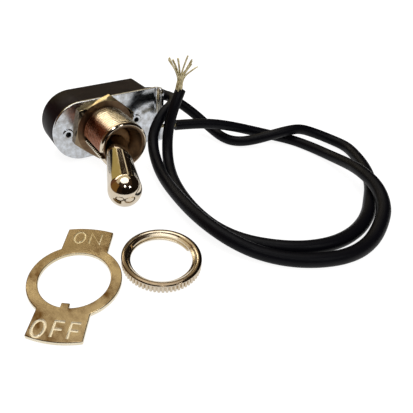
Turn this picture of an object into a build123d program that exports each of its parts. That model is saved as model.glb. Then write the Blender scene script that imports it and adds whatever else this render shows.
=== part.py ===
# Panel toggle switch with two wire leads, lying on its side, with its loose mounting hardware.
# Origin: bushing axis at the hex nut's front face, where the panel seats. The bushing points
# to -Y, the leads leave at +X and +Z is up. Named y positions count from the mounting plate's
# front face, and the three plane functions carry them to the origin.
import os
from math import atan2, cos, degrees, pi, radians, sin, sqrt, tan
from build123d import *

# Mounting plate, millimetres
plate_width = 15.4
plate_thickness = 0.8
round_end_x = -5.3
lip_bend_x = 14.9
lip_bend_radius = 0.9
lip_reach = 1.0
lip_corner = 1.6

# Housing
housing_end_x = 13.4
housing_back_y = 9.9
wall = 1.3
housing_corner = 0.8
housing_edge = 0.5
boss_radius = 2.1

# Eyelets that clinch the plate to the housing
eyelet_x = 9.3
eyelet_radius = 1.0
eyelet_bore_radius = 0.65
eyelet_flange_radius = 1.35
eyelet_flange = 0.35

# Bushing, 15/32 inch thread
thread_radius = 5.95
thread_minor_radius = 5.6
bushing_length = 12.3
shank_radius = 5.2
rear_bore_radius = 4.5
bushing_flange_radius = 6.3
bushing_flange = 0.7
mouth_radius = 4.75
nose_chamfer = 0.5
keyway_width = 1.8
keyway_depth = 0.9
keyway_turn = 10.0

# Nuts
hex_share = 0.97
hex_thickness = 1.5
hex_turn = 17.5
ring_nut_radius = 7.25
ring_nut_thickness = 1.8
ring_nut_chamfer = 0.2
ring_nut_bearing = -11.5

# Lever
pivot_y = -7.0
lever_tilt = 20.0
ball_radius = 3.6
neck_radius = 2.3
tip_radius = 3.4
tip_distance = 22.2
tail_radius = 1.6
tail_length = 7.6
tail_bore_radius = 1.0
tail_bore_end = 2.4
pin_radius = 0.8
pin_end_z = 4.7

# Plunger and its spring
plunger_radius = 0.9
plunger_engagement = 2.2
spring_wire_radius = 0.15
spring_turns = 5

# Rocker, terminals and contacts
rocker_pivot_y = 6.6
rocker_tilt = 8.0
rocker_width = 3.0
rocker_half_length = 6.4
rocker_arm = 0.8
rocker_underside = 0.3
rocker_web = 0.6
horn_width = 0.7
horn_x = 4.5
ridge_radius = 0.6
strip_thickness = 0.6
strip_width = 1.8
contact_x = -5.3
contact_radius = 0.95
moving_contact_thickness = 0.4
barrel_length = 3.0
barrel_wall = 0.45

# Leads
lead_radius = 1.35
conductor_radius = 0.6
lead_inset = 3.6
front_lead_y = 3.4

# Indicator plate
indicator_radius = 8.15
indicator_hole_radius = 6.2
on_reach = 13.1
off_reach = 12.45
tab_root_width = 8.6
tab_end_width = 8.9
tab_bow = 0.6
key_width = 1.45
key_reach = 0.95
indicator_thickness = 0.7
indicator_x = -22.2
indicator_y = -37.67
indicator_turn = 54.7

# Clearances
seat_clearance = 0.02
ball_clearance = 0.12
pin_clearance = 0.03
slide_clearance = 0.1
cradle_clearance = 0.15
contact_clearance = 0.08
stop_clearance = 0.15
loose_gap = 0.3
lead_clearance = 0.1

half_width = plate_width / 2
hex_across_flats = hex_share * plate_width
hex_radius = hex_across_flats / sqrt(3)
hex_drop = hex_radius * cos(radians(hex_turn - 30))
floor_z = -max(half_width, hex_drop)
inner_half_width = half_width - wall
housing_front_y = plate_thickness
back_inner_y = housing_back_y - wall
mouth_y = -bushing_length
mouth_depth = pivot_y - mouth_y
rear_face_y = plate_thickness + bushing_flange
lead_start_x = housing_end_x - wall
lead_z = half_width - lead_inset
strip_front_y = back_inner_y - strip_thickness
ring_nut_distance = indicator_radius + ring_nut_radius + loose_gap
ring_nut_x = indicator_x + ring_nut_distance * cos(radians(ring_nut_bearing))
ring_nut_y = indicator_y + ring_nut_distance * sin(radians(ring_nut_bearing))
barrel_radius = conductor_radius + barrel_wall
barrel_end_x = eyelet_x + boss_radius
barrel_start_x = barrel_end_x - barrel_length
rear_lead_y = strip_front_y - barrel_radius + barrel_wall / 3
wall_strip_z = lead_z + barrel_radius - barrel_wall / 3
swing = radians(rocker_tilt)
stop_edge = contact_radius / 2 - contact_x
stop_y = rocker_pivot_y + stop_edge * sin(swing) - rocker_underside * cos(swing) + stop_clearance

os.makedirs("parts", exist_ok=True)


def front_plane(y):
    # Plane facing the viewer, with local x to the right and local y up
    return Plane.XZ.offset(-hex_thickness - y)


def level_plane(z):
    # Level plane, with its local origin at the plate's front face
    return Plane((0, hex_thickness, z))


def end_plane(x):
    # Plane across the leads, with local x to the back and local y up
    return Plane(origin=(x, hex_thickness, 0), x_dir=(0, 1, 0), z_dir=(1, 0, 0))


# Housing: moulded cup, open towards the plate, with a boss round each eyelet
with BuildPart() as housing:
    with BuildSketch(front_plane(housing_front_y)):
        with Locations((round_end_x, 0)):
            Circle(half_width)
        with Locations(((round_end_x + housing_end_x) / 2, 0)):
            Rectangle(housing_end_x - round_end_x, plate_width)
    extrude(amount=-(housing_back_y - housing_front_y))
    fillet(housing.edges().filter_by(Axis.Y).group_by(Axis.X)[-1], housing_corner)
    fillet(housing.faces().sort_by(Axis.Y)[-1].edges(), housing_edge)
    with BuildSketch(front_plane(housing_front_y)):
        with Locations((round_end_x, 0)):
            Circle(inner_half_width)
        with Locations(((round_end_x + lead_start_x) / 2, 0)):
            Rectangle(lead_start_x - round_end_x, 2 * inner_half_width)
    extrude(amount=-(back_inner_y - housing_front_y), mode=Mode.SUBTRACT)
    with BuildSketch(front_plane(housing_front_y)):
        with Locations((-eyelet_x, 0), (eyelet_x, 0)):
            Circle(boss_radius)
    extrude(amount=-(housing_back_y - wall / 2 - housing_front_y))
    with BuildSketch(front_plane(housing_front_y)):
        with Locations((-eyelet_x, 0), (eyelet_x, 0)):
            Circle(eyelet_radius + seat_clearance)
    extrude(amount=-(housing_back_y - housing_front_y), mode=Mode.SUBTRACT)
    with BuildSketch(front_plane(housing_back_y)):
        with Locations((-eyelet_x, 0), (eyelet_x, 0)):
            Circle(eyelet_flange_radius + slide_clearance)
    extrude(amount=eyelet_flange, mode=Mode.SUBTRACT)
    # Post that stops the rocker's free arm when the contacts are open
    with BuildSketch(front_plane(back_inner_y)):
        with Locations((-contact_x, 0)):
            Rectangle(contact_radius, rocker_width)
    extrude(amount=back_inner_y - stop_y)
    with BuildSketch(end_plane(housing_end_x)):
        with Locations((front_lead_y, lead_z), (rear_lead_y, lead_z)):
            Circle(lead_radius + lead_clearance)
    extrude(amount=-wall, mode=Mode.SUBTRACT)
housing.part.label = "housing"
export_step(housing.part, "parts/housing.step")

# Mounting plate: flat steel sheet with a lip bent forward at the lead end
with BuildPart() as mounting_plate:
    with BuildSketch(front_plane(0)):
        with Locations((round_end_x, 0)):
            Circle(half_width)
        with Locations(((round_end_x + lip_bend_x) / 2, 0)):
            Rectangle(lip_bend_x - round_end_x, plate_width)
    extrude(amount=-plate_thickness)
    lip_outer = lip_bend_radius + plate_thickness
    with BuildSketch(level_plane(-half_width)):
        with BuildLine():
            inner_bend = CenterArc((lip_bend_x, -lip_bend_radius), lip_bend_radius, 0, 90)
            outer_bend = CenterArc((lip_bend_x, -lip_bend_radius), lip_outer, 0, 90)
            Line(inner_bend @ 1, outer_bend @ 1)
            Polyline(
                inner_bend @ 0,
                (inner_bend @ 0) - (0, lip_reach),
                (outer_bend @ 0) - (0, lip_reach),
                outer_bend @ 0,
            )
        make_face()
    extrude(amount=plate_width)
    lip_corners = mounting_plate.edges().filter_by(Axis.X).group_by(Axis.Y)[0]
    fillet(lip_corners, min(lip_corner, lip_reach + lip_bend_radius - seat_clearance))
    with BuildSketch(front_plane(0)):
        Circle(shank_radius + seat_clearance)
        with Locations((-eyelet_x, 0), (eyelet_x, 0)):
            Circle(eyelet_radius + seat_clearance)
    extrude(amount=-plate_thickness, mode=Mode.SUBTRACT)
mounting_plate.part.label = "mounting_plate"
export_step(mounting_plate.part, "parts/mounting_plate.step")

# Eyelets: tubes with a flange on the plate and a rolled end in the housing's back
with BuildPart() as eyelets:
    for side in (-1, 1):
        with BuildSketch(level_plane(0)):
            with BuildLine():
                Polyline(
                    (side * eyelet_x + eyelet_bore_radius, -eyelet_flange),
                    (side * eyelet_x + eyelet_flange_radius, -eyelet_flange),
                    (side * eyelet_x + eyelet_flange_radius, 0),
                    (side * eyelet_x + eyelet_radius, 0),
                    (side * eyelet_x + eyelet_radius, housing_back_y - eyelet_flange),
                    (side * eyelet_x + eyelet_flange_radius, housing_back_y - eyelet_flange),
                    (side * eyelet_x + eyelet_flange_radius, housing_back_y),
                    (side * eyelet_x + eyelet_bore_radius, housing_back_y),
                    close=True,
                )
            make_face()
        revolve(axis=Axis((side * eyelet_x, 0, 0), (0, 1, 0)))
    rims = eyelets.edges().filter_by(GeomType.CIRCLE).group_by(Axis.Y)[0]
    fillet(rims.group_by(SortBy.RADIUS)[-1], eyelet_flange * 0.6)
eyelets.part.label = "eyelets"
export_step(eyelets.part, "parts/eyelets.step")

# Bushing: barrel, shank spun over behind the plate, ball seat and flared mouth
seat_radius = ball_radius + ball_clearance
seat_lip = ball_radius * 0.4
seat_lip_radius = sqrt(seat_radius**2 - seat_lip**2)
with BuildPart() as bushing:
    with BuildSketch(level_plane(0)):
        with BuildLine():
            seat = CenterArc((0, pivot_y), seat_radius, 0, -degrees(atan2(seat_lip, seat_lip_radius)))
            Polyline(
                seat @ 1,
                (mouth_radius, mouth_y),
                (thread_radius - nose_chamfer, mouth_y),
                (thread_radius, mouth_y + nose_chamfer),
                (thread_radius, -hex_thickness),
                (thread_minor_radius, -hex_thickness),
                (thread_minor_radius, 0),
                (shank_radius, 0),
                (shank_radius, plate_thickness),
                (bushing_flange_radius, plate_thickness),
                (bushing_flange_radius, rear_face_y),
                (rear_bore_radius, rear_face_y),
                (rear_bore_radius, 0),
                seat @ 0,
            )
        make_face()
    revolve(axis=Axis.Y)
    # Keyway along the whole thread, open at the front for the indicator plate's key
    with BuildSketch(front_plane(0)):
        with PolarLocations(thread_radius, 1, start_angle=180 + keyway_turn):
            Rectangle(2 * keyway_depth, keyway_width)
    extrude(amount=bushing_length, mode=Mode.SUBTRACT)
    # Two slots inside the bore let the pivot pin in from behind
    with BuildSketch(front_plane(rear_face_y)):
        Rectangle(2 * (pin_radius + seat_clearance), 2 * (pin_end_z + seat_clearance))
    extrude(amount=rear_face_y - pivot_y, mode=Mode.SUBTRACT)
    with BuildSketch(level_plane(0)):
        with Locations((0, pivot_y)):
            Circle(pin_radius + seat_clearance)
    extrude(amount=pin_end_z + seat_clearance, both=True, mode=Mode.SUBTRACT)
bushing.part.label = "bushing"
export_step(bushing.part, "parts/bushing.step")

# Hex backing nut, tight against the plate, with chamfered front corners
with BuildPart() as hex_nut:
    with BuildSketch(front_plane(0)):
        RegularPolygon(hex_across_flats / 2, 6, major_radius=False, rotation=hex_turn)
        Circle(thread_minor_radius + seat_clearance, mode=Mode.SUBTRACT)
    extrude(amount=hex_thickness)
    corner_cut = hex_radius - hex_across_flats / 2
    with BuildSketch(level_plane(0)):
        with BuildLine():
            Polyline(
                (hex_across_flats / 2 - corner_cut / 4, -hex_thickness),
                (hex_radius + corner_cut, -hex_thickness),
                (hex_radius + corner_cut, -hex_thickness + corner_cut * 2.25 * tan(radians(30))),
                close=True,
            )
        make_face()
    revolve(axis=Axis.Y, mode=Mode.SUBTRACT)
hex_nut.part.label = "hex_nut"
export_step(hex_nut.part, "parts/hex_nut.step")

# Pivot pin through the lever's ball, its ends in the bushing's slots
with BuildPart() as pivot_pin:
    with BuildSketch(level_plane(-pin_end_z)):
        with Locations((0, pivot_y)):
            Circle(pin_radius)
    extrude(amount=2 * pin_end_z)
pivot_pin.part.label = "pivot_pin"
export_step(pivot_pin.part, "parts/pivot_pin.step")

# Lever at rest, tipped towards the keyway: local y runs from the pivot to the tip
tilt = radians(lever_tilt)
pivot = (0, hex_thickness + pivot_y, 0)
lever_plane = Plane(origin=pivot, x_dir=(-cos(tilt), sin(tilt), 0), z_dir=(0, 0, 1))
lever_axis = Axis(pivot, (-sin(tilt), -cos(tilt), 0))
neck_start = sqrt(ball_radius**2 - neck_radius**2)
tail_start = sqrt(ball_radius**2 - tail_radius**2)
taper = atan2(tip_radius - neck_radius, tip_distance - neck_start)
with BuildPart() as lever:
    with BuildSketch(lever_plane):
        with BuildLine():
            ball = CenterArc((0, 0), ball_radius, -degrees(atan2(tail_start, tail_radius)),
                             degrees(atan2(tail_start, tail_radius) + atan2(neck_start, neck_radius)))
            tip = CenterArc((0, tip_distance), tip_radius, -degrees(taper), 90 + degrees(taper))
            Line(ball @ 1, tip @ 0)
            Polyline(
                tip @ 1,
                (0, -tail_bore_end),
                (tail_bore_radius, -tail_bore_end),
                (tail_bore_radius, -tail_length),
                (tail_radius, -tail_length),
                ball @ 0,
            )
        make_face()
    revolve(axis=lever_axis)
    with BuildSketch(level_plane(0)):
        with Locations((0, pivot_y)):
            Circle(pin_radius + pin_clearance)
    extrude(amount=ball_radius, both=True, mode=Mode.SUBTRACT)
lever.part.label = "lever"
export_step(lever.part, "parts/lever.step")

# Plunger in the hollow tail, with a round nose that presses in the rocker's cradle
nose_centre = rocker_pivot_y - rocker_underside - rocker_web - ridge_radius / 2
nose_centre = nose_centre - cradle_clearance - plunger_radius - pivot_y
plunger_top = tail_length - plunger_engagement
with BuildPart() as plunger:
    with BuildSketch(lever_plane):
        with BuildLine():
            nose = CenterArc((0, -nose_centre), plunger_radius, -90, 90)
            Polyline(nose @ 1, (plunger_radius, -plunger_top), (0, -plunger_top), nose @ 0)
        make_face()
    revolve(axis=lever_axis)
plunger.part.label = "plunger"
export_step(plunger.part, "parts/plunger.step")

# Coil spring between the bore's end and the plunger
spring_space = plunger_top - tail_bore_end
spring_radius = tail_bore_radius - slide_clearance - spring_wire_radius
spring_height = spring_space - 2 * (spring_wire_radius + seat_clearance)
spring_origin = lever_plane.from_local_coords((0, -tail_bore_end - spring_wire_radius - seat_clearance, 0))
with BuildPart() as lever_spring:
    with BuildLine():
        coil = Helix(
            spring_height / spring_turns,
            spring_height,
            spring_radius,
            center=spring_origin,
            direction=-lever_axis.direction,
        )
    with BuildSketch(Plane(origin=coil @ 0, z_dir=coil % 0)):
        Circle(spring_wire_radius)
    sweep(path=coil, is_frenet=True)
lever_spring.part.label = "lever_spring"
export_step(lever_spring.part, "parts/lever_spring.step")

# Rocker: pressed bar whose concave cradle keeps its gap to the nose as lever and rocker turn
rest_x = nose_centre * sin(tilt)
rest_y = pivot_y + nose_centre * cos(tilt) - rocker_pivot_y
rest_along = rest_x * cos(swing) + rest_y * sin(swing)
rest_across = -rest_x * sin(swing) + rest_y * cos(swing)
mid_across = pivot_y + nose_centre - rocker_pivot_y
sag = mid_across - rest_across
path_radius = (rest_along**2 + sag**2) / (2 * sag)
cradle_radius = path_radius + plunger_radius + cradle_clearance
cradle_centre = mid_across - path_radius
horn_top = cradle_centre + sqrt(cradle_radius**2 - horn_x**2)
cradle_angle = degrees(atan2(horn_x, sqrt(cradle_radius**2 - horn_x**2)))
rocker_plane = Plane(
    origin=(0, hex_thickness + rocker_pivot_y, -rocker_width / 2),
    x_dir=(cos(swing), sin(swing), 0),
    z_dir=(0, 0, 1),
)
arm_top = -rocker_underside - rocker_arm
with BuildPart() as rocker:
    with BuildSketch(rocker_plane):
        with BuildLine():
            cradle = CenterArc((0, cradle_centre), cradle_radius, 90 - cradle_angle, 2 * cradle_angle)
            Polyline(
                cradle @ 1,
                (-horn_x - horn_width, horn_top),
                (-horn_x - horn_width, arm_top),
                (-rocker_half_length, arm_top),
                (-rocker_half_length, -rocker_underside),
                (rocker_half_length, -rocker_underside),
                (rocker_half_length, arm_top),
                (horn_x + horn_width, arm_top),
                (horn_x + horn_width, horn_top),
                cradle @ 0,
            )
        make_face()
        Circle(ridge_radius + seat_clearance * 2, mode=Mode.SUBTRACT)
    extrude(amount=rocker_width)
rocker.part.label = "rocker"
export_step(rocker.part, "parts/rocker.step")

# Silver button under the rocker's contact arm
button_plane = Plane(
    origin=rocker_plane.from_local_coords((contact_x, -rocker_underside, rocker_width / 2)),
    x_dir=rocker_plane.x_dir,
    z_dir=rocker_plane.y_dir,
)
with BuildPart() as moving_contact:
    with BuildSketch(button_plane):
        Circle(contact_radius)
    extrude(amount=moving_contact_thickness)
moving_contact.part.label = "moving_contact"
export_step(moving_contact.part, "parts/moving_contact.step")

# Hinge terminal: ridge, foot on the housing's back, arm and crimp barrel for the rear lead
with BuildPart() as hinge_terminal:
    with BuildSketch(level_plane(-rocker_width / 2)):
        with BuildLine():
            crest = CenterArc((0, rocker_pivot_y), ridge_radius, 180, 180)
            Polyline(
                crest @ 1,
                (ridge_radius, strip_front_y),
                (2 * strip_width, strip_front_y),
                (2 * strip_width, back_inner_y),
                (-strip_width, back_inner_y),
                (-strip_width, strip_front_y),
                (-ridge_radius, strip_front_y),
                crest @ 0,
            )
        make_face()
    extrude(amount=rocker_width)
    with BuildSketch(front_plane(back_inner_y)):
        with Locations((strip_width * 1.5, (lead_z + strip_width / 2) / 2)):
            Rectangle(strip_width, lead_z + strip_width / 2)
        with Locations(((strip_width + barrel_end_x) / 2, lead_z)):
            Rectangle(barrel_end_x - strip_width, strip_width)
    extrude(amount=strip_thickness)
    with BuildSketch(end_plane(barrel_start_x)):
        with Locations((rear_lead_y, lead_z)):
            Circle(barrel_radius)
    extrude(amount=barrel_length)
    with BuildSketch(end_plane(barrel_start_x)):
        with Locations((rear_lead_y, lead_z)):
            Circle(conductor_radius + seat_clearance)
    extrude(amount=barrel_length, mode=Mode.SUBTRACT)
hinge_terminal.part.label = "hinge_terminal"
export_step(hinge_terminal.part, "parts/hinge_terminal.step")

# Contact terminal: foot under the fixed contact, strip along the upper wall, front lead's barrel
with BuildPart() as contact_terminal:
    with BuildSketch(front_plane(back_inner_y)):
        with Locations((contact_x, (wall_strip_z + strip_thickness - contact_radius) / 2)):
            Rectangle(2 * contact_radius, wall_strip_z + strip_thickness + contact_radius)
    extrude(amount=strip_thickness)
    with BuildSketch(level_plane(wall_strip_z)):
        with Locations((contact_x, (front_lead_y + back_inner_y) / 2)):
            Rectangle(2 * contact_radius, back_inner_y - front_lead_y)
        with Locations(((contact_x - contact_radius + barrel_end_x) / 2, front_lead_y)):
            Rectangle(barrel_end_x - contact_x + contact_radius, strip_width)
    extrude(amount=strip_thickness)
    with BuildSketch(end_plane(barrel_start_x)):
        with Locations((front_lead_y, lead_z)):
            Circle(barrel_radius)
    extrude(amount=barrel_length)
    with BuildSketch(end_plane(barrel_start_x)):
        with Locations((front_lead_y, lead_z)):
            Circle(conductor_radius + seat_clearance)
    extrude(amount=barrel_length, mode=Mode.SUBTRACT)
contact_terminal.part.label = "contact_terminal"
export_step(contact_terminal.part, "parts/contact_terminal.step")

# Fixed contact, tall enough to meet the button when the rocker has tipped over
closed_edge = (contact_radius - contact_x) * sin(swing)
closed_y = rocker_pivot_y + closed_edge + (moving_contact_thickness - rocker_underside) * cos(swing)
with BuildPart() as fixed_contact:
    with BuildSketch(front_plane(strip_front_y)):
        with Locations((contact_x, 0)):
            Circle(contact_radius)
    extrude(amount=strip_front_y - closed_y - contact_clearance)
fixed_contact.part.label = "fixed_contact"
export_step(fixed_contact.part, "parts/fixed_contact.step")

# Leads: free routes chosen point by point, in the order from the housing to the stripped end
lying = floor_z + lead_radius
front_route = [
    (lead_start_x, front_lead_y, lead_z),
    (17.0, front_lead_y, lead_z),
    (19.8, 1.9, 4.1),
    (20.2, -1.3, 4.0),
    (17.9, -3.7, 3.7),
    (14.9, -5.1, 3.0),
    (12.3, -6.3, 1.2),
    (10.7, -7.9, -1.2),
    (9.3, -10.6, -3.3),
    (8.2, -13.8, -4.7),
    (6.9, -17.9, -5.5),
    (5.8, -22.7, -5.7),
    (4.9, -28.0, -5.7),
    (4.6, -33.4, -5.8),
    (5.1, -38.9, -6.0),
    (6.7, -44.1, -6.5),
    (9.5, -48.7, -7.0),
    (13.5, -52.3, lying),
    (18.1, -55.0, lying),
    (23.4, -56.8, lying),
    (28.9, -56.8, lying),
    (35.0, -54.9, -6.7),
    (40.4, -51.8, -5.4),
    (44.0, -47.2, -3.9),
    (46.1, -41.9, -3.9),
    (47.8, -36.7, -5.1),
    (48.9, -31.0, -6.7),
    (48.8, -25.1, lying),
    (47.7, -19.3, lying),
    (44.9, -14.8, -6.8),
    (40.2, -11.8, -5.6),
    (34.5, -10.1, -3.7),
    (28.6, -8.5, -2.1),
    (22.9, -7.2, -1.3),
    (17.6, -6.2, -1.0),
]
rear_route = [
    (lead_start_x, rear_lead_y, lead_z),
    (17.0, rear_lead_y, lead_z),
    (21.5, 5.5, 2.8),
    (25.3, 2.5, 0.1),
    (28.6, -0.2, -2.9),
    (31.2, -3.4, -5.6),
    (32.5, -7.7, -6.9),
    (34.1, -11.8, -7.0),
    (37.2, -15.0, -6.2),
    (41.3, -17.4, -4.5),
    (45.7, -18.5, -3.8),
    (50.1, -18.8, -4.1),
    (53.9, -20.9, -5.6),
    (56.6, -24.3, -6.8),
    (57.6, -28.8, lying),
    (56.7, -33.3, lying),
    (54.2, -37.2, lying),
    (51.0, -40.8, lying),
    (46.9, -44.1, lying),
    (42.5, -47.0, lying),
    (36.8, -50.5, lying),
    (30.5, -52.6, lying),
    (24.2, -52.9, lying),
    (18.5, -51.4, lying),
    (13.8, -48.2, lying),
    (10.0, -44.3, lying),
    (8.0, -39.5, lying),
    (7.3, -34.1, lying),
    (7.5, -28.4, lying),
    (8.3, -22.9, lying),
    (9.7, -17.9, -6.9),
    (11.1, -13.9, -5.8),
    (12.4, -11.1, -3.5),
    (13.4, -9.5, -0.4),
    (14.5, -8.9, 3.1),
    (16.1, -8.2, 6.2),
    (18.2, -7.0, 8.8),
]
front_tip = (13.9, -4.9, -0.6)
rear_tip = (18.7, -6.4, 15.5)


def bend_radii(route):
    # Each bend as large as its two runs allow
    points = [Vector(*point) for point in route]
    radii = []
    for before, here, after in zip(points, points[1:], points[2:]):
        turn = radians((here - before).get_angle(after - here))
        shorter = min((here - before).length, (after - here).length)
        radii.append(0.45 * shorter / tan(turn / 2))
    return radii


def lead_tube(route, radius):
    with BuildPart() as tube:
        with BuildLine(level_plane(0)) as path:
            FilletPolyline(*route, radius=bend_radii(route))
        with BuildSketch(Plane(origin=path.wire() @ 0, z_dir=path.wire() % 0)):
            Circle(radius)
        sweep(path=path.wire())
    return tube.part, path.wire().length


def conductor(route, y, tip):
    # Stranded core: the stub in the crimp barrel and the stripped end, which bends a little
    end = Vector(*route[-1])
    bend = end + (end - Vector(*route[-2])).normalized() * 2 * conductor_radius
    with BuildPart() as core:
        with BuildSketch(end_plane(barrel_start_x)):
            with Locations((y, lead_z)):
                Circle(conductor_radius)
        extrude(amount=lead_start_x - barrel_start_x)
        with BuildLine(level_plane(0)) as stripped:
            FilletPolyline(route[-1], bend.to_tuple(), tip, radius=2 * conductor_radius)
        with BuildSketch(Plane(origin=stripped.wire() @ 0, z_dir=stripped.wire() % 0)):
            Circle(conductor_radius)
        sweep(path=stripped.wire())
    return core.part


for name, route, y, tip in (
    ("front", front_route, front_lead_y, front_tip),
    ("rear", rear_route, rear_lead_y, rear_tip),
):
    lead, lead_length = lead_tube(route, lead_radius)
    lead.label = f"{name}_lead"
    export_step(lead, f"parts/{name}_lead.step")
    core = conductor(route, y, tip)
    core.label = f"{name}_conductor"
    export_step(core, f"parts/{name}_conductor.step")
    print(name, "lead length", round(lead_length, 1), "radii", [round(r, 1) for r in bend_radii(route)])
    print(name, "volume over section times length", round(lead.volume / (pi * lead_radius**2 * lead_length), 4))

# Indicator plate, lying flat: ring, two tabs and the key for the keyway
indicator_origin = (indicator_x, hex_thickness + indicator_y, floor_z)
indicator_plane = Plane(indicator_origin).rotated((0, 0, indicator_turn))
with BuildPart() as indicator_plate:
    with BuildSketch(indicator_plane):
        Circle(indicator_radius)
        for side, reach in ((-1, off_reach), (1, on_reach)):
            with BuildLine():
                root = Line((0, side * tab_root_width / 2), (0, -side * tab_root_width / 2))
                end = ThreePointArc(
                    (side * (reach - tab_bow), -side * tab_end_width / 2),
                    (side * reach, 0),
                    (side * (reach - tab_bow), side * tab_end_width / 2),
                )
                Line(root @ 1, end @ 0)
                Line(end @ 1, root @ 0)
            make_face()
        Circle(indicator_hole_radius, mode=Mode.SUBTRACT)
        with Locations((-indicator_hole_radius - (indicator_radius - indicator_hole_radius) / 2 + key_reach, 0)):
            Rectangle(indicator_radius - indicator_hole_radius, key_width)
    extrude(amount=indicator_thickness)
indicator_plate.part.label = "indicator_plate"
export_step(indicator_plate.part, "parts/indicator_plate.step")

# Ring nut, lying flat: plain band that carries the knurl, with broken edges
with BuildPart() as ring_nut:
    with BuildSketch(level_plane(floor_z)):
        with Locations((ring_nut_x, ring_nut_y)):
            Circle(ring_nut_radius)
            Circle(thread_minor_radius, mode=Mode.SUBTRACT)
    extrude(amount=ring_nut_thickness)
    chamfer(ring_nut.edges().filter_by(GeomType.CIRCLE), ring_nut_chamfer)
ring_nut.part.label = "ring_nut"
export_step(ring_nut.part, "parts/ring_nut.step")
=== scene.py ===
# Panel toggle switch lying on its side, with its two leads, ring nut and ON-OFF plate, on a white table
import math
import random
import bmesh
import bpy
from mathutils import Matrix, Vector


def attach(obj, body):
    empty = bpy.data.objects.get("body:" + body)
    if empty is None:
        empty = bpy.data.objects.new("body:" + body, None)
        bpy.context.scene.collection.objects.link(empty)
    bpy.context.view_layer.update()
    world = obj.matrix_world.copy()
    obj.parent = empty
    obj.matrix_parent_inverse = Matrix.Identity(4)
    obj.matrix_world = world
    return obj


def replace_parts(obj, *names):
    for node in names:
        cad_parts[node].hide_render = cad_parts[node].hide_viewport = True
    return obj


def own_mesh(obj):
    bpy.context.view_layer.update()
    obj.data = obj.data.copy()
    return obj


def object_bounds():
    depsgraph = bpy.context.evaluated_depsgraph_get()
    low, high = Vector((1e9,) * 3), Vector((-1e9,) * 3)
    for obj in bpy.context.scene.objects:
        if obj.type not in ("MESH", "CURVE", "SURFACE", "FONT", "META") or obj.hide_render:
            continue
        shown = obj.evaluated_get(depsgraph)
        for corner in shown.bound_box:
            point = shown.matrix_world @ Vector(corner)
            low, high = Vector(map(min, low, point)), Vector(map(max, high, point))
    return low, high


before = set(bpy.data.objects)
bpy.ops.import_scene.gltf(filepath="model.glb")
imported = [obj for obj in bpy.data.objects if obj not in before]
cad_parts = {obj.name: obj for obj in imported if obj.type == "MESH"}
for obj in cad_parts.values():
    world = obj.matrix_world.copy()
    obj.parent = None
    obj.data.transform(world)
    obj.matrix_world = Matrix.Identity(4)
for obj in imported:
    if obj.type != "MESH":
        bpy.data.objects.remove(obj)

cadBox = [list(corner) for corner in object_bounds()]
mm = 0.001
weldGap = 0.002 * mm
floorZ = cadBox[0][2]
print("frame loaded", len(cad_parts), "nodes")


# one node with its settings, its plain values and its links
def addNode(tree, kind, inputs=None, **settings):
    node = tree.nodes.new(kind)
    for key, value in settings.items():
        setattr(node, key, value)
    for socket, value in (inputs or {}).items():
        if isinstance(value, bpy.types.NodeSocket):
            tree.links.new(value, node.inputs[socket])
        else:
            node.inputs[socket].default_value = value
    return node


# sRGB hex to linear colour
def linear(hexColour):
    channels = [int(hexColour[i:i + 2], 16) / 255 for i in (1, 3, 5)]
    return [c / 12.92 if c <= 0.04045 else ((c + 0.055) / 1.055) ** 2.4 for c in channels] + [1.0]


def newMaterial(name, hexColour, values):
    material = bpy.data.materials.new(name)
    material.use_nodes = True
    material.diffuse_color = linear(hexColour)
    shader = material.node_tree.nodes["Principled BSDF"]
    shader.inputs["Base Color"].default_value = linear(hexColour)
    for socket, value in values.items():
        shader.inputs[socket].default_value = value
    return material, material.node_tree, shader


# colour that drifts between two tones, a roughness that drifts with it, and a fine bump, all sized in mm
def weather(tree, shader, tones, patch, rough, grain, depth, stretch=(1, 1, 1), spread=0.5):
    place = addNode(tree, "ShaderNodeTexCoord")
    drawn = addNode(tree, "ShaderNodeMapping", {"Vector": place.outputs["Object"], "Scale": stretch})
    cloud = addNode(tree, "ShaderNodeTexNoise", {
        "Vector": drawn.outputs[0], "Scale": 1 / (patch * mm), "Detail": 4.0, "Roughness": 0.6})
    blend = addNode(tree, "ShaderNodeMapRange", {
        "Value": cloud.outputs["Fac"], "From Min": 0.5 - spread, "From Max": 0.5 + spread})
    tone = addNode(tree, "ShaderNodeMix", {
        "Factor": blend.outputs[0], 6: linear(tones[0]), 7: linear(tones[1])}, data_type="RGBA")
    tree.links.new(tone.outputs[2], shader.inputs["Base Color"])
    gloss = addNode(tree, "ShaderNodeMapRange", {
        "Value": cloud.outputs["Fac"], "From Min": 0.3, "From Max": 0.7,
        "To Min": rough[0], "To Max": rough[1]})
    tree.links.new(gloss.outputs[0], shader.inputs["Roughness"])
    grit = addNode(tree, "ShaderNodeTexNoise", {
        "Vector": drawn.outputs[0], "Scale": 1 / (grain * mm), "Detail": 3.0})
    bump = addNode(tree, "ShaderNodeBump", {
        "Height": grit.outputs["Fac"], "Strength": 0.5, "Distance": depth * mm})
    tree.links.new(bump.outputs[0], shader.inputs["Normal"])
    return tone.outputs[2]


# another tone that comes in along the object's axes, used here to paint shade and reflection onto sides and
# ends
# each range is an axis, its two ends in mm, its full share and its ease
def fadeTone(tree, shader, tone, fade):
    place = addNode(tree, "ShaderNodeTexCoord")
    across = addNode(tree, "ShaderNodeSeparateXYZ", {"Vector": place.outputs["Object"]})
    share = None
    for axis, start, end, full, ease in fade["ranges"]:
        ramp = addNode(tree, "ShaderNodeMapRange", {
            "Value": across.outputs[axis], "From Min": start * mm, "From Max": end * mm, "To Max": full},
            interpolation_type=ease)
        if share is not None:
            ramp = addNode(tree, "ShaderNodeMath", {0: share, 1: ramp.outputs[0]}, operation="MULTIPLY")
        share = ramp.outputs[0]
    faded = addNode(tree, "ShaderNodeMix", {
        "Factor": share, 6: tone, 7: linear(fade["tone"])}, data_type="RGBA")
    tree.links.new(faded.outputs[2], shader.inputs["Base Color"])


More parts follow.
